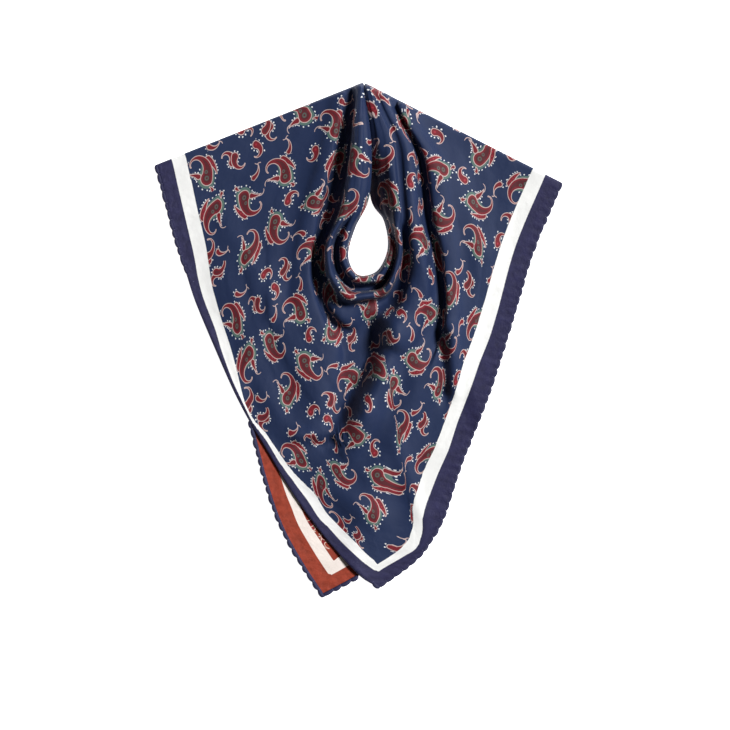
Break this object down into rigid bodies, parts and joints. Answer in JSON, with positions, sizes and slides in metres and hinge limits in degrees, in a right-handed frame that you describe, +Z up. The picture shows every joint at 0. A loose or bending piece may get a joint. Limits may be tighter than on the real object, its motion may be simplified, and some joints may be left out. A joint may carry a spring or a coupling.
{
  "type": "wool scarf",
  "caption": "Square printed wool scarf folded on its diagonal and laid flat, its neckline gathered into a cowl round a teardrop neck gap.",
  "frame": {"origin": "on the surface that the scarf lies on, under the middle of its outline", "axes": "+Z up from the surface, +Y towards the peak where the two shoulder folds meet, +X towards the right shoulder corner"},
  "size_m": [0.4066, 0.5158, 0.0371],
  "materials": {
    "navy_print": "matte wool twill, printed",
    "rust_print": "matte wool twill, printed",
    "hem": "matte wool, hand rolled"
  },
  "bodies": {
    "root": {"front_stretch": "navy_print", "back_stretch": "rust_print", "left_end": "navy_print", "right_end": "navy_print", "hem_front_left": "hem", "hem_front_right": "hem", "hem_back_left": "hem", "hem_back_bottom": "hem"}
  },
  "joints": []
}
